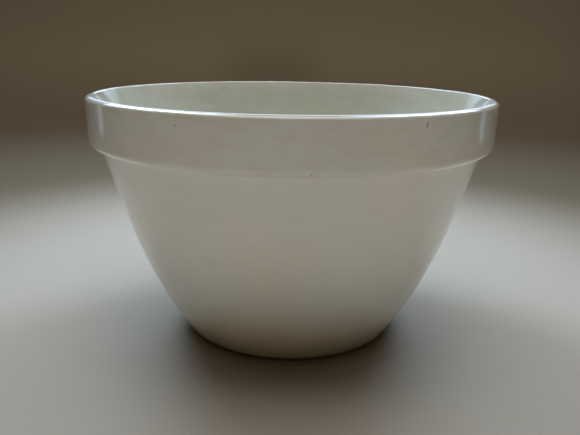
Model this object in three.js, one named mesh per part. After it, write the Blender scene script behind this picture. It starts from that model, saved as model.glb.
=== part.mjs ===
// A glazed earthenware pudding basin: the fired clay, and the glaze that lies on it.
// Millimetres, +Z up. The origin is the middle of the foot, on the surface that the basin stands on.
import * as THREE from "three";

// Rim and collar
const RIM_DIAMETER = 190;
const BOWL_HEIGHT = 114;
const LIP_THICKNESS = 3.6;
const LIP_INNER_RADIUS = 0.8;
const LIP_CROWN_RADIUS = 3.6;
const LIP_SLOPE_WIDTH = 1.8;
const LIP_SLOPE_DROP = 1;
const LIP_OUTER_RADIUS = 1.4;
const COLLAR_HEIGHT = 21.9;
const COLLAR_LEAN = 0.4;
const COLLAR_OVERHANG = 4.5;
const COLLAR_EDGE_RADIUS = 3.3;
const COLLAR_HOLLOW_RADIUS = 1.2;

// Wall: straight from the collar to the belly and from the belly to the foot, with a long curve at the belly
const WALL_THICKNESS = 5.6;
const BELLY_DIAMETER = 141;
const BELLY_HEIGHT = 28.6;
const BELLY_RADIUS = 225;
const INNER_CURVE_RADIUS = 50;

// Base and foot ring
const BASE_THICKNESS = 6.5;
const FOOT_DIAMETER = 104.8;
const FOOT_RING_WIDTH = 9;
const HEEL_RADIUS = 5;
const RING_EDGE_RADIUS = 1;
const RECESS_DEPTH = 2.2;
const RECESS_SLOPE_RUN = 1.6;
const RECESS_CORNER_RADIUS = 1.5;

// Glaze: its thickness, the gap that keeps it off the clay, and how high above the foot it was wiped off
const GLAZE_THICKNESS = 0.4;
const GLAZE_SEAT_GAP = 0.05;
const GLAZE_LINE_HEIGHT = 1;

// Facets
const TURN_SEGMENTS = 48;
const CHORD_TOLERANCE = 0.12;
const LEAST_ARC_STEPS = 3;

const COAT = GLAZE_THICKNESS + GLAZE_SEAT_GAP;

const CLAY = { name: "fired clay", color: 0xd8cbb2, roughness: 0.85, metalness: 0 };
const GLAZE = { name: "ivory glaze", color: 0xe6e0cc, roughness: 0.12, metalness: 0 };

// The corners of the glazed outline, as (radius, height), each with the radius that rounds it.
// It runs from the middle of the inside floor, over the lip, down the outside and under the foot.
// The lip is highest inside its middle and slopes a little towards the outside.
// The foot's corners lie one coat below zero, so that the bare clay there stands at zero.
function outlineCorners() {
  const rim = RIM_DIAMETER / 2;
  const collarFoot = rim - COLLAR_LEAN;
  const collarLow = BOWL_HEIGHT - COLLAR_HEIGHT;
  const floor = RECESS_DEPTH + BASE_THICKNESS;
  const foot = FOOT_DIAMETER / 2;
  const ringInside = foot - FOOT_RING_WIDTH;
  const wallTop = new THREE.Vector2(collarFoot - COLLAR_OVERHANG, collarLow);
  const belly = new THREE.Vector2(BELLY_DIAMETER / 2, BELLY_HEIGHT);
  const lipInside = new THREE.Vector2(rim - LIP_THICKNESS, BOWL_HEIGHT);
  const innerHeel = innerWallAtHeight(lipInside, wallTop, belly, floor);
  return [
    { at: new THREE.Vector2(0, floor), radius: 0 },
    { at: innerHeel, radius: INNER_CURVE_RADIUS },
    { at: lipInside, radius: LIP_INNER_RADIUS },
    { at: new THREE.Vector2(rim - LIP_SLOPE_WIDTH, BOWL_HEIGHT), radius: LIP_CROWN_RADIUS },
    { at: new THREE.Vector2(rim, BOWL_HEIGHT - LIP_SLOPE_DROP), radius: LIP_OUTER_RADIUS },
    { at: new THREE.Vector2(collarFoot, collarLow), radius: COLLAR_EDGE_RADIUS },
    { at: wallTop, radius: COLLAR_HOLLOW_RADIUS },
    { at: belly, radius: BELLY_RADIUS },
    { at: new THREE.Vector2(foot, -COAT), radius: HEEL_RADIUS },
    { at: new THREE.Vector2(ringInside, -COAT), radius: RING_EDGE_RADIUS },
    { at: new THREE.Vector2(ringInside - RECESS_SLOPE_RUN, RECESS_DEPTH), radius: RECESS_CORNER_RADIUS },
    { at: new THREE.Vector2(0, RECESS_DEPTH), radius: 0 },
  ];
}

// The inside wall is a straight line from the lip to a wall's thickness inside the belly, carried on to the floor.
function innerWallAtHeight(lipInside, wallTop, belly, height) {
  const down = belly.clone().sub(wallTop).normalize();
  const inwards = new THREE.Vector2(down.y, -down.x);
  const innerBelly = belly.clone().addScaledVector(inwards, WALL_THICKNESS);
  const share = (lipInside.y - height) / (lipInside.y - innerBelly.y);
  return lipInside.clone().lerp(innerBelly, share);
}

// Rounds the corners. Each point of the result has a place and the outward normal of the surface there.
// Where two roundings would overrun the straight between them, both are made smaller to share it.
function roundedOutline(corners) {
  const last = corners.length - 1;
  const directions = [];
  for (let i = 0; i < last; i += 1) {
    directions.push(corners[i + 1].at.clone().sub(corners[i].at).normalize());
  }
  const reach = corners.map((corner, i) => {
    if (i === 0 || i === last) return 0;
    return corner.radius * Math.tan(Math.abs(turnAt(directions, i)) / 2);
  });
  const shares = reach.map(() => 1);
  for (let i = 0; i < last; i += 1) {
    const wanted = reach[i] + reach[i + 1];
    const length = corners[i].at.distanceTo(corners[i + 1].at);
    const share = wanted > length ? length / wanted : 1;
    shares[i] = Math.min(shares[i], share);
    shares[i + 1] = Math.min(shares[i + 1], share);
  }
  const points = [{ place: corners[0].at, normal: outwardNormal(directions[0]) }];
  for (let i = 1; i < last; i += 1) {
    const start = corners[i].at.clone().addScaledVector(directions[i - 1], -reach[i] * shares[i]);
    const turn = turnAt(directions, i);
    points.push(...arcPoints(start, directions[i - 1], turn, corners[i].radius * shares[i]));
  }
  points.push({ place: corners[last].at, normal: outwardNormal(directions[last - 1]) });
  return points;
}

// Signed angle by which the outline turns at a corner
function turnAt(directions, i) {
  const before = directions[i - 1];
  const after = directions[i];
  return Math.atan2(before.cross(after), before.dot(after));
}

// Outward normal of an outline that runs with the solid on its right
function outwardNormal(direction) {
  return new THREE.Vector2(-direction.y, direction.x);
}

// Points of an arc that leaves start along direction and turns by the given angle
function arcPoints(start, direction, turn, radius) {
  const side = Math.sign(turn);
  const centre = start.clone().addScaledVector(outwardNormal(direction), side * radius);
  const widestStep = 2 * Math.acos(1 - Math.min(1, CHORD_TOLERANCE / radius));
  const steps = Math.max(LEAST_ARC_STEPS, Math.ceil(Math.abs(turn) / widestStep));
  const origin = new THREE.Vector2(0, 0);
  const points = [];
  for (let i = 0; i <= steps; i += 1) {
    const normal = outwardNormal(direction).rotateAround(origin, (turn * i) / steps);
    points.push({ place: centre.clone().addScaledVector(normal, -side * radius), normal });
  }
  return points;
}

// The outline drawn in by a depth, as plain points on or beside the axis
function drawnIn(points, depth) {
  return points.map(({ place, normal }) => {
    const moved = place.clone().addScaledVector(normal, -depth);
    return new THREE.Vector2(Math.max(0, moved.x), moved.y);
  });
}

// The point between two outline points at a given height
function pointAtHeight(a, b, height) {
  const share = (height - a.place.y) / (b.place.y - a.place.y);
  const normal = a.normal.clone().lerp(b.normal, share).normalize();
  return { place: a.place.clone().lerp(b.place, share), normal };
}

// The stretches of the outline that stay glazed, one on each side of the wiped foot
function glazedStretches(outline) {
  const wiped = outline.map(({ place }) => place.y < GLAZE_LINE_HEIGHT);
  const first = wiped.indexOf(true);
  const after = wiped.lastIndexOf(true) + 1;
  const outerEdge = pointAtHeight(outline[first - 1], outline[first], GLAZE_LINE_HEIGHT);
  const innerEdge = pointAtHeight(outline[after - 1], outline[after], GLAZE_LINE_HEIGHT);
  return {
    coat: [...outline.slice(0, first), outerEdge],
    underside: [innerEdge, ...outline.slice(after)],
  };
}

// Closed skin of glaze over a stretch of the outline
function skinProfile(stretch) {
  const face = drawnIn(stretch, 0);
  const back = drawnIn(stretch, GLAZE_THICKNESS);
  return [...face, ...back.reverse()];
}

// Turns a profile of (radius, height) points round the Z axis
function turned(profile) {
  const geometry = new THREE.LatheGeometry(profile.slice().reverse(), TURN_SEGMENTS);
  return geometry.rotateX(Math.PI / 2);
}

function piece(name, geometry, material) {
  const mesh = new THREE.Mesh(geometry, new THREE.MeshStandardMaterial(material));
  mesh.name = name;
  return mesh;
}

const outline = roundedOutline(outlineCorners());
const glazed = glazedStretches(outline);
const underside = skinProfile(glazed.underside);

const basin = new THREE.Group();
basin.name = "pudding_basin";
basin.add(piece("clay_body", turned(drawnIn(outline, COAT)), CLAY));
basin.add(piece("glaze_coat", turned(skinProfile(glazed.coat)), GLAZE));
basin.add(piece("underside_glaze", turned([...underside, underside[0]]), GLAZE));

export default basin;
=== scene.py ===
import math

import bmesh
import bpy
from bpy.props import FloatProperty, FloatVectorProperty, IntProperty, PointerProperty
from bpy.types import Operator, Panel, PropertyGroup
from mathutils import Euler, Matrix, Vector


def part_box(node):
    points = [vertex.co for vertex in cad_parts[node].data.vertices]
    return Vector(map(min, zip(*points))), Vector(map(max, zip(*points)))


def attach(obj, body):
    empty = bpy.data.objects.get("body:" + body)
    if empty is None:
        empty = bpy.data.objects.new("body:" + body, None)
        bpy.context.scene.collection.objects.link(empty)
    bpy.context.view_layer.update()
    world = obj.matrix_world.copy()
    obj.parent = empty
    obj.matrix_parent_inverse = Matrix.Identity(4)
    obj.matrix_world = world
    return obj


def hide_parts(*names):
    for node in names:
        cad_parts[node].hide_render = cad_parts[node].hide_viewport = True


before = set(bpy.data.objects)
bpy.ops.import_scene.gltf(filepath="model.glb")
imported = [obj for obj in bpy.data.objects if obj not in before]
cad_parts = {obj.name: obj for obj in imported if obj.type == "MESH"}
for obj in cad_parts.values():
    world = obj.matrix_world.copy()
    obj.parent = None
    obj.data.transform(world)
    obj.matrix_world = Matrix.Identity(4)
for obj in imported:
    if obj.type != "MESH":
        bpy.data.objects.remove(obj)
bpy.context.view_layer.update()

bl_info = {
    "name": "Pudding basin",
    "version": (1, 0, 0),
    "blender": (4, 5, 0),
    "location": "View3D > Sidebar > Basin",
    "description": "Models a glazed earthenware pudding basin over its packed solids and sets it on a plain stage",
    "category": "Add Mesh",
}

MM = 0.001
FULL_TURN = 2.0 * math.pi


# Properties

def length(name, description, millimetres):
    """A length property, written in millimetres and kept in metres."""
    return FloatProperty(
        name=name, description=description, default=millimetres * MM, min=0.0, precision=5,
        unit="LENGTH", subtype="DISTANCE",
    )


def colour(name, description, default):
    """A colour property in linear red, green and blue."""
    return FloatVectorProperty(
        name=name, description=description, default=default, min=0.0, max=1.0, size=3, subtype="COLOR",
    )


def place(name, description, millimetres):
    """A point in the basin's frame, written in millimetres and kept in metres."""
    return FloatVectorProperty(
        name=name, description=description, default=[x * MM for x in millimetres], size=3, precision=5,
        unit="LENGTH", subtype="TRANSLATION",
    )


def power(name, description, watts):
    """A light's power."""
    return FloatProperty(name=name, description=description, default=watts, min=0.0, unit="POWER", subtype="POWER")


class BasinShape(PropertyGroup):
    """Sizes of the basin's section, the same as in its solids"""

    height: length("Height", "From the foot to the top of the lip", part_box("glaze_coat")[1].z / MM)
    rim_diameter: length("Rim diameter", "Across the collar at the top", 190.0)
    lip_thickness: length("Lip thickness", "Of the wall at the top of the lip", 3.6)
    lip_inner_radius: length("Lip inner radius", "Rounding of the lip inside", 0.8)
    lip_crown_radius: length("Lip crown radius", "Rounding of the top of the lip", 3.6)
    lip_slope_width: length("Lip slope width", "Of the outer part of the lip, which slopes outwards", 1.8)
    lip_slope_drop: length("Lip slope drop", "How far that slope falls", 1.0)
    lip_outer_radius: length("Lip outer radius", "Rounding of the lip outside", 1.4)
    collar_height: length("Collar height", "Of the band under the lip", 21.9)
    collar_lean: length("Collar lean", "How much narrower the collar's radius is at its lower edge", 0.4)
    collar_overhang: length("Collar overhang", "How far the collar stands out from the wall", 4.5)
    collar_edge_radius: length("Collar edge radius", "Rounding of the collar's lower edge", 3.3)
    collar_hollow_radius: length("Collar hollow radius", "Rounding between the collar and the wall", 1.2)
    wall_thickness: length("Wall thickness", "Of the wall above the belly", 5.6)
    belly_diameter: length("Belly diameter", "Where the wall turns in towards the foot", 141.0)
    belly_height: length("Belly height", "Of that turn above the foot", 28.6)
    belly_radius: length("Belly radius", "Of the long curve there", 225.0)
    inner_curve_radius: length("Inner curve radius", "Between the inside wall and the inside floor", 50.0)
    base_thickness: length("Base thickness", "Of the base above the hollow under it", 6.5)
    foot_diameter: length("Foot diameter", "Across the foot ring before its edge is rounded", 104.8)
    foot_ring_width: length("Foot ring width", "Of the ring that the basin stands on", 9.0)
    heel_radius: length("Heel radius", "Rounding between the wall and the foot ring", 5.0)
    ring_edge_radius: length("Ring edge radius", "Rounding of the foot ring inside", 1.0)
    recess_depth: length("Recess depth", "Of the hollow under the base", 2.2)
    recess_slope_run: length("Recess slope run", "How far the hollow's side slopes in", 1.6)
    recess_corner_radius: length("Recess corner radius", "Rounding at the top of the hollow's side", 1.5)
    glaze_thickness: length("Glaze thickness", "Of the glassy coat", 0.4)
    glaze_seat_gap: length("Glaze seat gap", "Between the glaze and the clay", 0.05)
    glaze_line_height: length("Glaze line height", "How high above the foot the glaze was wiped off", 1.0)
    glaze_edge_radius: length("Glaze edge radius", "Rounding of the glaze where it ends", 0.12)
    wave_height: length("Wave height", "Of the slow unevenness of the turned surface", 0.22)
    ripple_height: length("Ripple height", "Of the quick unevenness of the turned surface", 0.07)
    turn_steps: IntProperty(name="Turn steps", description="Faces round the basin", default=256, min=48, max=512)
    arc_steps: IntProperty(name="Arc steps", description="Faces across a small rounding", default=8, min=3, max=32)


class BasinFinish(PropertyGroup):
    """Colours and marks of the glaze and the clay"""

    glaze: colour("Glaze", "Ivory of the glaze", (0.835, 0.795, 0.665))
    glaze_cool: colour("Cool glaze", "Ivory where the glaze is slightly cooler", (0.8, 0.785, 0.67))
    # Partly real glaze unevenness, partly a painted reflection: the dark mottle stands in for the collar's wavy
    # sheen.
    glaze_mottle_and_sheen: colour("Mottle and sheen glaze", "Where the glaze is thicker and deeper in tone", (0.66, 0.61, 0.43))
    # Painted light: a pale ring under the collar's lower edge that lifts the shade in the hollow between the
    # collar and the wall.
    glaze_hollow_light: colour("Hollow light glaze", "Pale thick glaze that ran to the collar's lower edge", (0.97, 0.94, 0.82))
    glaze_thin: colour("Thin glaze", "Where the clay shows through on the lip", (0.7, 0.62, 0.46))
    # Painted shade: darker, browner glaze towards the foot, standing in for shade and warm bounce near the floor.
    glaze_foot_shade: colour("Foot shade glaze", "Browner glaze near the foot", (0.72, 0.49, 0.25))
    speck: colour("Speck", "Iron specks in the glaze", (0.09, 0.055, 0.03))
    clay: colour("Clay", "Bare fired clay", (0.6, 0.5, 0.35))
    clay_dark: colour("Dark clay", "Stains and dark grit in the clay", (0.36, 0.27, 0.17))
    nick: place("Nick", "The short dark nick under the lip", (47.93, -81.94, 109.91))
    edge_speck: place("Edge speck", "The brown speck on the collar's lower edge", (7.08, -94.37, 93.93))
    collar_speck: place("Collar speck", "The small speck on the collar", (-40.37, -85.89, 109.0))


class BasinStage(PropertyGroup):
    """The floor, the light and the camera"""

    floor: colour("Floor", "Of the floor near the basin", (0.57, 0.505, 0.42))
    # Painted shade: the far floor and the backdrop are coloured dark, in the place of shade behind the basin.
    backdrop: colour("Backdrop", "Of the floor far away and the backdrop", (0.2, 0.155, 0.095))
    air: colour("Air", "Of the weak light from all round", (1.0, 0.75, 0.5))
    air_strength: FloatProperty(name="Air strength", description="Of that light", default=0.055, min=0.0)
    sky: colour("Sky light", "Of the soft light overhead", (0.97, 0.985, 1.0))
    sky_power: power("Sky power", "Of the light overhead", 1.18)
    window: colour("Window light", "Of the cool lights behind and at the sides", (0.57, 0.77, 1.0))
    left_power: power("Left power", "Of the tall light behind on the left", 0.92)
    right_power: power("Right power", "Of the tall light behind on the right", 0.7)
    side_power: power("Side power", "Of each of the two narrow lights at the sides", 0.0045)
    horizon_power: power("Horizon power", "Of the low light behind", 0.6)
    room: colour("Room light", "Of the soft light on the front and on the backdrop", (1.0, 0.97, 0.99))
    room_power: power("Room power", "Of the low light in front", 0.0925)
    backdrop_power: power("Backdrop power", "Of the light on the backdrop", 3.2)
    eye: place("Eye", "Where the camera stands", (0.0, -294.3, 136.8))
    pitch: FloatProperty(
        name="Pitch", description="How far the camera looks down", default=math.radians(16.14), unit="ROTATION",
        subtype="ANGLE",
    )
    roll: FloatProperty(
        name="Roll", description="How far the camera is tipped", default=math.radians(0.93), unit="ROTATION",
        subtype="ANGLE",
    )
    lens: FloatProperty(
        name="Lens", description="Focal length on a sensor 36 mm wide", default=37.24, min=1.0,
        unit="CAMERA", subtype="DISTANCE_CAMERA",
    )


# The section

def outline_corners(shape):
    """The corners of the glazed section as (radius and height, rounding).

    They run from the middle of the inside floor, over the lip and down the outside, to the middle of the hollow
    under the base. The foot's corners lie one coat of glaze below zero, so that the bare clay stands at zero.
    """
    rim = shape.rim_diameter / 2
    collar_foot = rim - shape.collar_lean
    collar_low = shape.height - shape.collar_height
    floor = shape.recess_depth + shape.base_thickness
    foot = shape.foot_diameter / 2
    foot_low = -(shape.glaze_thickness + shape.glaze_seat_gap)
    ring_inside = foot - shape.foot_ring_width
    wall_top = Vector((collar_foot - shape.collar_overhang, collar_low))
    belly = Vector((shape.belly_diameter / 2, shape.belly_height))
    lip_inside = Vector((rim - shape.lip_thickness, shape.height))
    down = (belly - wall_top).normalized()
    inner_belly = belly + Vector((down.y, -down.x)) * shape.wall_thickness
    reach = (lip_inside.y - floor) / (lip_inside.y - inner_belly.y)
    inner_heel = lip_inside.lerp(inner_belly, reach)
    return [
        (Vector((0.0, floor)), 0.0),
        (inner_heel, shape.inner_curve_radius),
        (lip_inside, shape.lip_inner_radius),
        (Vector((rim - shape.lip_slope_width, shape.height)), shape.lip_crown_radius),
        (Vector((rim, shape.height - shape.lip_slope_drop)), shape.lip_outer_radius),
        (Vector((collar_foot, collar_low)), shape.collar_edge_radius),
        (wall_top, shape.collar_hollow_radius),
        (belly, shape.belly_radius),
        (Vector((foot, foot_low)), shape.heel_radius),
        (Vector((ring_inside, foot_low)), shape.ring_edge_radius),
        (Vector((ring_inside - shape.recess_slope_run, shape.recess_depth)), shape.recess_corner_radius),
        (Vector((0.0, shape.recess_depth)), 0.0),
    ]


LONGEST_STEP = 3.5 * MM
LEAST_GAP = 1e-3 * MM


def pen_point(piece):
    """The radius and height of the one vertex that is selected."""
    points = [v.co for v in bmesh.from_edit_mesh(piece.data).verts if v.select]
    if len(points) != 1:
        raise RuntimeError(f"the outline of {piece.name} has {len(points)} ends selected, not one")
    return Vector((points[0].x, points[0].z))


def draw_straight(piece, end):
    """Extrudes the outline's end vertex in even steps to a point."""
    way = end - pen_point(piece)
    if way.length < LEAST_GAP:
        return
    steps = math.ceil(way.length / LONGEST_STEP)
    move = Vector((way.x, 0.0, way.y)) / steps
    for _ in range(steps):
        bpy.ops.mesh.extrude_vertices_move(TRANSFORM_OT_translate={"value": move})


def draw_rounding(centre, turn, steps):
    """Spins the outline's end vertex about a centre. A turn to the left is positive."""
    bpy.ops.mesh.spin(
        steps=steps, angle=abs(turn), center=(centre.x, 0.0, centre.y), axis=(0.0, math.copysign(1.0, turn), 0.0),
    )


def draw_outline(piece, shape):
    """Draws the section with its rounded corners, from a vertex at the origin."""
    corners = outline_corners(shape)
    points = [point for point, _ in corners]
    ways = [(b - a).normalized() for a, b in zip(points, points[1:])]
    start = points[0]
    bpy.ops.transform.translate(value=(start.x, 0.0, start.y))
    for (point, radius), before, after in zip(corners[1:], ways, ways[1:]):
        turn = math.atan2(before.x * after.y - before.y * after.x, before.dot(after))
        reach = radius * math.tan(abs(turn) / 2)
        begin = point - before * reach
        draw_straight(piece, begin)
        side = math.copysign(radius, turn)
        steps = max(shape.arc_steps, math.ceil(radius * abs(turn) / LONGEST_STEP))
        draw_rounding(begin + Vector((-before.y, before.x)) * side, turn, steps)
        if (pen_point(piece) - (point + after * reach)).length > LEAST_GAP:
            raise RuntimeError(f"the rounding at {point.x:.4f}, {point.y:.4f} ends in the wrong place")
    draw_straight(piece, points[-1])


# Modelling

START_SIZE = 10.0 * MM
MERGE_DISTANCE = 1e-3 * MM
CALM_HEIGHT = 4.0 * MM
UNEVEN_HEIGHT = 16.0 * MM
WAVE_SIZE = 45.0 * MM
RIPPLE_SIZE = 13.0 * MM
SHARP_EDGE = math.radians(50.0)
EDGE_SEGMENTS = 3


def start_outline(name):
    """A new object with one vertex at the origin, left in edit mode."""
    bpy.ops.object.select_all(action="DESELECT")
    bpy.ops.mesh.primitive_plane_add(size=START_SIZE, location=(0.0, 0.0, 0.0))
    piece = bpy.context.object
    piece.name = name
    piece.data.name = name
    bpy.ops.object.mode_set(mode="EDIT")
    bpy.ops.mesh.select_mode(type="VERT")
    bpy.ops.mesh.select_all(action="SELECT")
    bpy.ops.mesh.merge(type="CENTER")
    return piece


def spin_outline(steps, inside=False):
    """Spins a drawn outline once round the upright axis, faces it outwards or inwards, and leaves edit mode."""
    bpy.ops.mesh.select_all(action="SELECT")
    bpy.ops.mesh.spin(
        steps=steps, angle=FULL_TURN, center=(0.0, 0.0, 0.0), axis=(0.0, 0.0, 1.0), use_auto_merge=True,
    )
    bpy.ops.mesh.select_all(action="SELECT")
    bpy.ops.mesh.remove_doubles(threshold=MERGE_DISTANCE)
    bpy.ops.mesh.normals_make_consistent(inside=inside)
    bpy.ops.object.mode_set(mode="OBJECT")


def turned_shape(name, shape):
    """The whole glazed shape as one closed surface: the section, spun round the upright axis."""
    piece = start_outline(name)
    draw_outline(piece, shape)
    spin_outline(shape.turn_steps)
    make_uneven(piece, "waves", WAVE_SIZE, shape.wave_height)
    make_uneven(piece, "ripples", RIPPLE_SIZE, shape.ripple_height)
    return piece


def make_uneven(piece, name, size, height):
    """Presses a soft unevenness into a turned surface. The foot stays true, so that the basin stands level."""
    group = piece.vertex_groups.new(name=name)
    for vertex in piece.data.vertices:
        rise = (vertex.co.z - CALM_HEIGHT) / (UNEVEN_HEIGHT - CALM_HEIGHT)
        group.add([vertex.index], min(1.0, max(0.0, rise)), "REPLACE")
    texture = bpy.data.textures.get(name) or bpy.data.textures.new(name, "CLOUDS")
    texture.noise_scale = size
    texture.noise_depth = 1
    bpy.ops.object.modifier_add(type="DISPLACE")
    displace = piece.modifiers[-1]
    displace.name = name
    displace.texture = texture
    displace.texture_coords = "LOCAL"
    displace.vertex_group = name
    displace.mid_level = 0.5
    displace.strength = height
    bpy.ops.object.modifier_apply(modifier=name)
    bpy.ops.object.vertex_group_remove(all=True)


def under_base(point, shape):
    """Whether a point of the glazed surface lies in the hollow under the base."""
    ring = (shape.foot_diameter - shape.foot_ring_width) / 2
    return point.xy.length < ring and point.z < shape.recess_depth + shape.base_thickness / 2


def wiped_skin(piece, shape, keep):
    """Cuts a turned surface off at the glaze line, keeps the part that is wanted, and gives it its thickness."""
    bpy.ops.object.mode_set(mode="EDIT")
    bpy.ops.mesh.select_all(action="SELECT")
    bpy.ops.mesh.bisect(
        plane_co=(0.0, 0.0, shape.glaze_line_height), plane_no=(0.0, 0.0, 1.0), clear_inner=True,
    )
    bpy.ops.mesh.select_all(action="DESELECT")
    mesh = bmesh.from_edit_mesh(piece.data)
    for vertex in mesh.verts:
        vertex.select_set(not keep(vertex.co))
    mesh.select_flush_mode()
    bmesh.update_edit_mesh(piece.data)
    bpy.ops.mesh.delete(type="VERT")
    bpy.ops.object.mode_set(mode="OBJECT")
    bpy.ops.object.modifier_add(type="SOLIDIFY")
    thickness = piece.modifiers[-1]
    thickness.name = "glaze"
    thickness.thickness = shape.glaze_thickness
    thickness.offset = -1.0
    thickness.use_even_offset = True
    thickness.use_quality_normals = True
    bpy.ops.object.modifier_apply(modifier="glaze")
    bpy.ops.object.mode_set(mode="EDIT")
    bpy.ops.mesh.select_mode(type="EDGE")
    bpy.ops.mesh.select_all(action="DESELECT")
    bpy.ops.mesh.edges_select_sharp(sharpness=SHARP_EDGE)
    bpy.ops.mesh.bevel(offset=shape.glaze_edge_radius, segments=EDGE_SEGMENTS, affect="EDGES")
    bpy.ops.object.mode_set(mode="OBJECT")


def finish_piece(piece, material, node):
    """Smooths a piece, gives it its finish, and puts it in the place of its solid."""
    bpy.ops.object.select_all(action="DESELECT")
    piece.select_set(True)
    bpy.context.view_layer.objects.active = piece
    bpy.ops.object.shade_smooth()
    piece.data.materials.clear()
    piece.data.materials.append(material)
    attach(piece, "root")
    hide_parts(node)


# Finishes

# Glaze. A range is the stretch of a noise over which a tone comes in.
# A share is the most of a tone that is mixed in.
GLAZE_NAME = "speckled_glaze"
CLOUD_SIZE = 55.0 * MM
CLOUD_RANGE = (0.35, 0.65)
MOTTLE_SIZE = 11.0 * MM
MOTTLE_RANGE = (0.36, 0.68)
MOTTLE_SQUASH = (1.0, 1.0, 2.0)
MOTTLE_FADE = 6.0 * MM
WALL_MOTTLE = 0.1
COLLAR_MOTTLE = 0.28
# Painted light in the hollow under the collar: its ring's inset from the rim, its fade and its share.
HOLLOW_LIGHT_INSET = 2.6 * MM
HOLLOW_LIGHT_INNER = 1.0 * MM
HOLLOW_LIGHT_OUTER = 2.6 * MM
HOLLOW_LIGHT_SHARE = 0.75
THIN_INNER = 2.0 * MM
THIN_OUTER = 3.2 * MM
THIN_SIZE = 9.0 * MM
THIN_RANGE = (0.3, 0.75)
THIN_SHARE = 0.22
WALL_SLOPE = 0.55
WALL_INSET = 2.0 * MM
# Painted shade near the foot: the heights over which it fades out, the size and shift of its uneven edge, and its
# share.
FOOT_SHADE_LOW = 6.0 * MM
FOOT_SHADE_HIGH = 40.0 * MM
FOOT_SHADE_SIZE = 30.0 * MM
FOOT_SHADE_SHIFT = 6.0 * MM
FOOT_SHADE_SHARE = 0.5
SHEEN_SIZE = 21.0 * MM
SHEEN_RANGE = (0.25, 0.75)
GLAZE_ROUGHNESS = (0.1, 0.19)
PEEL_SIZE = 5.0 * MM
PEEL_DEPTH = 0.12 * MM
PEEL_STRENGTH = 0.16

# Marks in the glaze. A small speck's radii are parts of the spacing, and a mark's core is a part of its size.
SPECK_SPACING = 17.0 * MM
SPECK_RADII = (0.012, 0.028)
SPECK_CHOICE = 0.72
SMALL_SPECK_SHARE = 0.6
SPECK_SHARE = 0.55
EDGE_SPECK_SIZE = 0.62 * MM
COLLAR_SPECK_SIZE = 0.42 * MM
NICK_SIZE = 0.75 * MM
NICK_TALL = 2.1
NICK_LEAN = math.radians(18.0)
NICK_SHARE = 0.8
NICK_DEPTH = 4.0
MARK_CORE = 0.4

# Clay
CLAY_NAME = "gritty_clay"
STAIN_SIZE = 14.0 * MM
STAIN_RANGE = (0.35, 0.7)
WEAR_RANGE = (0.3, 0.7)
CLAY_ROUGHNESS = (0.88, 0.7)
GRAIN_SIZE = 0.7 * MM
GRAIN_RANGE = (0.58, 0.75)
GRAIN_SHARE = 0.6
GRAIN_DEPTH = 0.15 * MM
GRAIN_STRENGTH = 0.5

# Floor, in metres from the basin's axis
# The painted shade on the floor comes in between these distances.
NEAR_FLOOR = 0.17
FAR_FLOOR = 0.4


def add(tree, kind, inputs=None, **settings):
    """Adds a node, sets its options, and fills its inputs with values or with other nodes' outputs."""
    node = tree.nodes.new(kind)
    for option, value in settings.items():
        setattr(node, option, value)
    for socket, value in (inputs or {}).items():
        if isinstance(value, bpy.types.NodeSocket):
            tree.links.new(value, node.inputs[socket])
        else:
            node.inputs[socket].default_value = value
    return node


def number(tree, operation, a, b=0.0):
    """Output of a calculation on one or two numbers."""
    return add(tree, "ShaderNodeMath", {0: a, 1: b}, operation=operation).outputs[0]


def ramp(tree, value, low, high, to_low=0.0, to_high=1.0):
    """A value taken smoothly from one range to another."""
    inputs = {"Value": value, 1: low, 2: high, 3: to_low, 4: to_high}
    return add(tree, "ShaderNodeMapRange", inputs, interpolation_type="SMOOTHSTEP").outputs[0]


def blend(tree, factor, first, second):
    """Output of a mix of two colours."""
    inputs = {0: factor, 6: first, 7: second}
    return add(tree, "ShaderNodeMix", inputs, data_type="RGBA").outputs[2]


def noise(tree, vector, size, detail=2.0):
    """Soft noise whose lumps are about as large as the given size."""
    inputs = {"Vector": vector, "Scale": 1.0 / size, "Detail": detail, "Roughness": 0.5}
    return add(tree, "ShaderNodeTexNoise", inputs).outputs[0]


def rgba(value):
    """A property's colour with full opacity."""
    return (*value, 1.0)


def new_finish(name):
    """A material with its tree emptied to a shader and an output."""
    material = bpy.data.materials.new(name)
    material.use_nodes = True
    tree = material.node_tree
    tree.nodes.clear()
    shader = add(tree, "ShaderNodeBsdfPrincipled")
    add(tree, "ShaderNodeOutputMaterial", {"Surface": shader.outputs[0]})
    point = add(tree, "ShaderNodeTexCoord").outputs["Object"]
    return material, tree, shader, point


def across_and_up(tree, point):
    """A point's distance from the upright axis and its height."""
    split = add(tree, "ShaderNodeSeparateXYZ", {0: point})
    flat = add(tree, "ShaderNodeCombineXYZ", {"X": split.outputs["X"], "Y": split.outputs["Y"]}).outputs[0]
    across = add(tree, "ShaderNodeVectorMath", {0: flat}, operation="LENGTH").outputs["Value"]
    return across, split.outputs["Z"]


def near_ring(tree, point, radius, height, inner, outer):
    """One on a circle round the upright axis, fading to none at a distance from it."""
    across, up = across_and_up(tree, point)
    aside = number(tree, "SUBTRACT", across, radius)
    above = number(tree, "SUBTRACT", up, height)
    squares = number(tree, "ADD", number(tree, "MULTIPLY", aside, aside), number(tree, "MULTIPLY", above, above))
    return ramp(tree, number(tree, "SQRT", squares), inner, outer, 1.0, 0.0)


def mark(tree, point, where, size, tall=1.0, lean=0.0):
    """One at a small mark, fading to none at its edge. It can be stretched upwards and lean to the right."""
    away = add(tree, "ShaderNodeVectorMath", {0: point, 1: where}, operation="SUBTRACT").outputs[0]
    away = add(tree, "ShaderNodeVectorRotate", {"Vector": away, "Angle": -lean}, rotation_type="Y_AXIS").outputs[0]
    away = add(tree, "ShaderNodeVectorMath", {0: away, 1: (1.0, 1.0, 1.0 / tall)}, operation="MULTIPLY").outputs[0]
    distance = add(tree, "ShaderNodeVectorMath", {0: away}, operation="LENGTH").outputs["Value"]
    return ramp(tree, distance, MARK_CORE * size, size, 1.0, 0.0)


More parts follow.
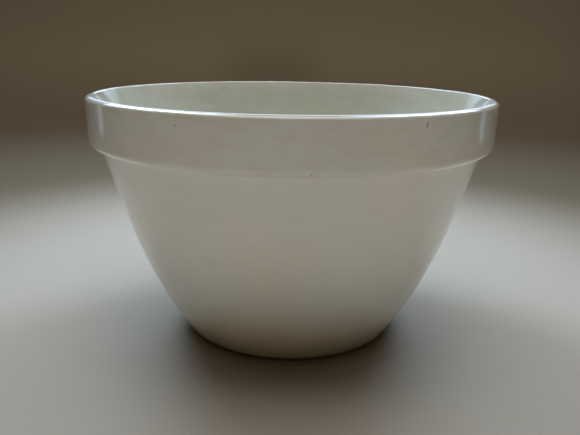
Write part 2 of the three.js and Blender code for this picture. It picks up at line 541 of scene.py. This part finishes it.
def glaze_tone(tree, point, shape, finish):
    """The glaze's colour without its marks, with its painted reflection, painted light and painted shade."""
    across, up = across_and_up(tree, point)
    rim = shape.rim_diameter / 2
    collar_low = shape.height - shape.collar_height
    cloud = ramp(tree, noise(tree, point, CLOUD_SIZE), *CLOUD_RANGE)
    tone = blend(tree, cloud, rgba(finish.glaze), rgba(finish.glaze_cool))
    # The mottle is partly real glaze unevenness and partly a painted reflection of the collar's wavy sheen,
    # stronger on the collar.
    streaky = add(tree, "ShaderNodeVectorMath", {0: point, 1: MOTTLE_SQUASH}, operation="MULTIPLY").outputs[0]
    mottle = ramp(tree, noise(tree, streaky, MOTTLE_SIZE, detail=3.0), *MOTTLE_RANGE)
    share = ramp(tree, up, collar_low - MOTTLE_FADE, collar_low + MOTTLE_FADE, WALL_MOTTLE, COLLAR_MOTTLE)
    tone = blend(tree, number(tree, "MULTIPLY", mottle, share), tone, rgba(finish.glaze_mottle_and_sheen))
    # Painted light: a pale ring under the collar's lower edge lifts the shade in the hollow there.
    hollow_light = near_ring(tree, point, rim - HOLLOW_LIGHT_INSET, collar_low, HOLLOW_LIGHT_INNER, HOLLOW_LIGHT_OUTER)
    tone = blend(tree, number(tree, "MULTIPLY", hollow_light, HOLLOW_LIGHT_SHARE), tone, rgba(finish.glaze_hollow_light))
    lip = near_ring(tree, point, rim - shape.lip_thickness / 2, shape.height, THIN_INNER, THIN_OUTER)
    thin = number(tree, "MULTIPLY", lip, ramp(tree, noise(tree, point, THIN_SIZE), *THIN_RANGE))
    tone = blend(tree, number(tree, "MULTIPLY", thin, THIN_SHARE), tone, rgba(finish.glaze_thin))
    # A sloping line within the wall tells its outside from its inside.
    line = number(tree, "ADD", number(tree, "MULTIPLY", up, WALL_SLOPE), shape.foot_diameter / 2 - WALL_INSET)
    outside = ramp(tree, number(tree, "SUBTRACT", across, line), -WALL_INSET, 0.0)
    # Painted shade: the outside wall darkens and browns towards the foot, in the place of shade near the floor.
    level = number(tree, "ADD", up, number(tree, "MULTIPLY", noise(tree, point, FOOT_SHADE_SIZE), FOOT_SHADE_SHIFT))
    foot_shade = number(tree, "MULTIPLY", ramp(tree, level, FOOT_SHADE_LOW, FOOT_SHADE_HIGH, FOOT_SHADE_SHARE, 0.0), outside)
    return blend(tree, foot_shade, tone, rgba(finish.glaze_foot_shade))


def glaze_marks(tree, point, finish):
    """The specks with the nick among them, and the nick alone."""
    cells = add(tree, "ShaderNodeTexVoronoi", {"Vector": point, "Scale": 1.0 / SPECK_SPACING}, feature="F1")
    draw = add(tree, "ShaderNodeSeparateColor", {0: cells.outputs["Color"]}).outputs[0]
    chosen = number(tree, "GREATER_THAN", draw, SPECK_CHOICE)
    small = ramp(tree, cells.outputs["Distance"], *SPECK_RADII, SMALL_SPECK_SHARE, 0.0)
    specks = number(tree, "MULTIPLY", small, chosen)
    specks = number(tree, "MAXIMUM", specks, mark(tree, point, finish.edge_speck, EDGE_SPECK_SIZE))
    specks = number(tree, "MAXIMUM", specks, mark(tree, point, finish.collar_speck, COLLAR_SPECK_SIZE))
    nick = number(tree, "MULTIPLY", mark(tree, point, finish.nick, NICK_SIZE, NICK_TALL, NICK_LEAN), NICK_SHARE)
    return number(tree, "MAXIMUM", specks, nick), nick


def ivory_glaze(shape, finish):
    """Glossy ivory glaze: mottled on the collar, partly as a painted reflection, with painted light in the hollow
    under the collar, thinner on the lip, browner near the foot as painted shade, and specked.
    """
    found = bpy.data.materials.get(GLAZE_NAME)
    if found:
        return found
    material, tree, shader, point = new_finish(GLAZE_NAME)
    specks, nick = glaze_marks(tree, point, finish)
    tone = glaze_tone(tree, point, shape, finish)
    tone = blend(tree, number(tree, "MULTIPLY", specks, SPECK_SHARE), tone, rgba(finish.speck))
    tree.links.new(tone, shader.inputs["Base Color"])
    sheen = ramp(tree, noise(tree, point, SHEEN_SIZE, detail=4.0), *SHEEN_RANGE, *GLAZE_ROUGHNESS)
    tree.links.new(sheen, shader.inputs["Roughness"])
    pit = number(tree, "MULTIPLY", nick, NICK_DEPTH)
    pitted = number(tree, "SUBTRACT", noise(tree, point, PEEL_SIZE, detail=1.0), pit)
    bump = add(tree, "ShaderNodeBump", {"Height": pitted, "Strength": PEEL_STRENGTH, "Distance": PEEL_DEPTH})
    tree.links.new(bump.outputs[0], shader.inputs["Normal"])
    shader.inputs["IOR"].default_value = 1.6
    shader.inputs["Coat Weight"].default_value = 0.6
    shader.inputs["Coat Roughness"].default_value = 0.05
    return material


def fired_clay(finish):
    """Bare earthenware: buff, gritty and matt, with darker stains."""
    material, tree, shader, point = new_finish(CLAY_NAME)
    grain = noise(tree, point, GRAIN_SIZE, detail=6.0)
    stain = noise(tree, point, STAIN_SIZE, detail=4.0)
    tone = blend(tree, ramp(tree, stain, *STAIN_RANGE), rgba(finish.clay), rgba(finish.clay_dark))
    tone = blend(tree, ramp(tree, grain, *GRAIN_RANGE, 0.0, GRAIN_SHARE), tone, rgba(finish.clay_dark))
    tree.links.new(tone, shader.inputs["Base Color"])
    tree.links.new(ramp(tree, stain, *WEAR_RANGE, *CLAY_ROUGHNESS), shader.inputs["Roughness"])
    bump = add(tree, "ShaderNodeBump", {"Height": grain, "Strength": GRAIN_STRENGTH, "Distance": GRAIN_DEPTH})
    tree.links.new(bump.outputs[0], shader.inputs["Normal"])
    return material


def plain_floor(stage):
    """Pale matt floor that deepens away from the basin: painted shade on the far floor and the backdrop."""
    material, tree, shader, point = new_finish("plain_floor")
    away = add(tree, "ShaderNodeVectorMath", {0: point}, operation="LENGTH").outputs["Value"]
    tone = blend(tree, ramp(tree, away, NEAR_FLOOR, FAR_FLOOR), rgba(stage.floor), rgba(stage.backdrop))
    tree.links.new(tone, shader.inputs["Base Color"])
    shader.inputs["Roughness"].default_value = 0.9
    shader.inputs["Specular IOR Level"].default_value = 0.15
    return material


# Operators

class BASIN_OT_clay(Operator):
    """Models the fired clay: foot ring, base, wall, collar and lip in one piece"""

    bl_idname = "basin.clay"
    bl_label = "Clay body"

    def execute(self, context):
        shape = context.scene.basin_shape
        piece = turned_shape("fired_clay_body", shape)
        bpy.ops.object.mode_set(mode="EDIT")
        bpy.ops.mesh.select_all(action="SELECT")
        bpy.ops.transform.shrink_fatten(value=-(shape.glaze_thickness + shape.glaze_seat_gap))
        bpy.ops.object.mode_set(mode="OBJECT")
        finish_piece(piece, fired_clay(context.scene.basin_finish), "clay_body")
        return {"FINISHED"}


class BASIN_OT_coat(Operator):
    """Models the glaze on the inside, the lip, the collar and the outside wall"""

    bl_idname = "basin.coat"
    bl_label = "Glaze coat"

    def execute(self, context):
        shape = context.scene.basin_shape
        piece = turned_shape("ivory_glaze_coat", shape)
        wiped_skin(piece, shape, lambda point: not under_base(point, shape))
        finish_piece(piece, ivory_glaze(shape, context.scene.basin_finish), "glaze_coat")
        return {"FINISHED"}


class BASIN_OT_underside(Operator):
    """Models the patch of glaze in the hollow under the base"""

    bl_idname = "basin.underside"
    bl_label = "Underside glaze"

    def execute(self, context):
        shape = context.scene.basin_shape
        piece = turned_shape("ivory_glaze_underside", shape)
        wiped_skin(piece, shape, lambda point: under_base(point, shape))
        finish_piece(piece, ivory_glaze(shape, context.scene.basin_finish), "underside_glaze")
        return {"FINISHED"}


# Stage, in metres
FLOOR_RADIUS = 0.7
SWEEP_RADIUS = 0.5
SWEEP_STEPS = 24
BACKDROP_HEIGHT = 0.5
FLOOR_TURN_STEPS = 96
SKY_AIM = Vector((0.0, 0.0, 0.06))
SKY_DISTANCE = 1.0
SKY_ELEVATION = math.radians(88.0)
SKY_SIZE = (0.9, 0.7)
SKY_SPREAD = math.radians(85.0)
HORIZON_ELEVATION = math.radians(24.0)
HORIZON_SIZE = (1.1, 0.35)
WINDOW_BEARING = math.radians(37.0)
WINDOW_ELEVATION = math.radians(46.0)
WINDOW_SIZE = (0.32, 0.58)
WINDOW_SPREAD = math.radians(72.0)
SIDE_SPOT = Vector((0.567, 0.245, 0.11))
SIDE_AIM = Vector((0.0, 0.0, 0.11))
SIDE_SIZE = (0.06, 0.2)
ROOM_SPOT = Vector((0.03, -0.75, 0.089))
ROOM_AIM = Vector((0.0, 0.0, 0.089))
ROOM_SIZE = (1.2, 0.108)
ROOM_SPREAD = math.radians(8.0)
BACKDROP_SPOT = Vector((0.0, 0.7, 0.95))
BACKDROP_AIM = Vector((0.0, 1.2, 0.3))
BACKDROP_SIZE = (1.6, 0.2)
BACKDROP_SPREAD = math.radians(150.0)

# Camera, in millimetres
SENSOR_WIDTH = 36.0


class BASIN_OT_stage(Operator):
    """Sets the basin on a plain pale floor, with soft lights and the camera"""

    bl_idname = "basin.stage"
    bl_label = "Stage"

    def execute(self, context):
        stage = context.scene.basin_stage
        self.lay_floor(stage)
        self.light(context, stage)
        self.point_camera(context, stage)
        return {"FINISHED"}

    def lay_floor(self, stage):
        """A round floor that sweeps up into a backdrop on all sides."""
        floor = start_outline("stage_floor")
        bpy.ops.mesh.extrude_vertices_move(TRANSFORM_OT_translate={"value": (FLOOR_RADIUS, 0.0, 0.0)})
        draw_rounding(Vector((FLOOR_RADIUS, SWEEP_RADIUS)), math.pi / 2, SWEEP_STEPS)
        bpy.ops.mesh.extrude_vertices_move(TRANSFORM_OT_translate={"value": (0.0, 0.0, BACKDROP_HEIGHT)})
        spin_outline(FLOOR_TURN_STEPS, inside=True)
        bpy.ops.object.shade_smooth()
        floor.data.materials.append(plain_floor(stage))

    def light(self, context, stage):
        """Weak light from all round, and soft lights above, behind, at the sides, in front and on the backdrop."""
        world = bpy.data.worlds.new("studio_air")
        world.use_nodes = True
        air = world.node_tree.nodes["Background"]
        air.inputs["Color"].default_value = rgba(stage.air)
        air.inputs["Strength"].default_value = stage.air_strength
        context.scene.world = world
        context.scene.view_settings.view_transform = "Standard"
        overhead = self.sky_spot(0.0, SKY_ELEVATION)
        self.hang_light("sky_light", overhead, SKY_AIM, SKY_SIZE, SKY_SPREAD, stage.sky, stage.sky_power)
        low = self.sky_spot(0.0, HORIZON_ELEVATION)
        self.hang_light("horizon_light", low, SKY_AIM, HORIZON_SIZE, SKY_SPREAD, stage.window, stage.horizon_power)
        for name, side, watts in (("left", -1.0, stage.left_power), ("right", 1.0, stage.right_power)):
            tall = self.sky_spot(side * WINDOW_BEARING, WINDOW_ELEVATION)
            self.hang_light(f"{name}_window", tall, SKY_AIM, WINDOW_SIZE, WINDOW_SPREAD, stage.window, watts)
            spot = Vector((side * SIDE_SPOT.x, SIDE_SPOT.y, SIDE_SPOT.z))
            self.hang_light(f"{name}_strip", spot, SIDE_AIM, SIDE_SIZE, SKY_SPREAD, stage.window, stage.side_power)
        front = self.hang_light(
            "room_light", ROOM_SPOT, ROOM_AIM, ROOM_SIZE, ROOM_SPREAD, stage.room, stage.room_power,
        )
        front.visible_glossy = False
        self.hang_light(
            "backdrop_light", BACKDROP_SPOT, BACKDROP_AIM, BACKDROP_SIZE, BACKDROP_SPREAD, stage.room,
            stage.backdrop_power,
        )

    def sky_spot(self, bearing, elevation):
        """A place above and behind. Its bearing is counted from straight behind, to the right."""
        level = SKY_DISTANCE * math.cos(elevation)
        return Vector((level * math.sin(bearing), level * math.cos(bearing), SKY_DISTANCE * math.sin(elevation)))

    def hang_light(self, name, spot, aim, size, spread, tint, watts):
        """A soft rectangular light that faces a point."""
        bpy.ops.object.light_add(type="AREA", location=spot)
        light = bpy.context.object
        light.name = name
        light.rotation_euler = (aim - spot).to_track_quat("-Z", "Y").to_euler()
        light.data.shape = "RECTANGLE"
        light.data.size, light.data.size_y = size
        light.data.spread = spread
        light.data.energy = watts
        light.data.color = tint
        light.visible_camera = False
        return light

    def point_camera(self, context, stage):
        """The camera at the photograph's viewing angle."""
        bpy.ops.object.camera_add(location=stage.eye)
        camera = bpy.context.object
        camera.name = "front_camera"
        turn = Euler((math.pi / 2 - stage.pitch, 0.0, 0.0)).to_matrix() @ Matrix.Rotation(stage.roll, 3, "Z")
        camera.rotation_euler = turn.to_euler()
        camera.data.sensor_width = SENSOR_WIDTH
        camera.data.lens = stage.lens
        context.scene.camera = camera


class BASIN_PT_maker(Panel):
    """Lists the basin's operators and properties"""

    bl_label = "Pudding basin"
    bl_space_type = "VIEW_3D"
    bl_region_type = "UI"
    bl_category = "Basin"

    def draw(self, context):
        layout = self.layout
        for operator in OPERATORS:
            layout.operator(operator.bl_idname)
        for group in (context.scene.basin_shape, context.scene.basin_finish, context.scene.basin_stage):
            column = layout.column()
            for name in group.bl_rna.properties.keys():
                if name not in ("rna_type", "name"):
                    column.prop(group, name)


OPERATORS = (BASIN_OT_clay, BASIN_OT_coat, BASIN_OT_underside, BASIN_OT_stage)
CLASSES = (BasinShape, BasinFinish, BasinStage, *OPERATORS, BASIN_PT_maker)


def register():
    for made in CLASSES:
        bpy.utils.register_class(made)
    bpy.types.Scene.basin_shape = PointerProperty(type=BasinShape)
    bpy.types.Scene.basin_finish = PointerProperty(type=BasinFinish)
    bpy.types.Scene.basin_stage = PointerProperty(type=BasinStage)


def unregister():
    del bpy.types.Scene.basin_stage
    del bpy.types.Scene.basin_finish
    del bpy.types.Scene.basin_shape
    for made in reversed(CLASSES):
        bpy.utils.unregister_class(made)


def main():
    """Makes every piece and the stage."""
    register()
    bpy.ops.basin.clay()
    bpy.ops.basin.coat()
    bpy.ops.basin.underside()
    bpy.ops.basin.stage()


if __name__ == "__main__":
    main()
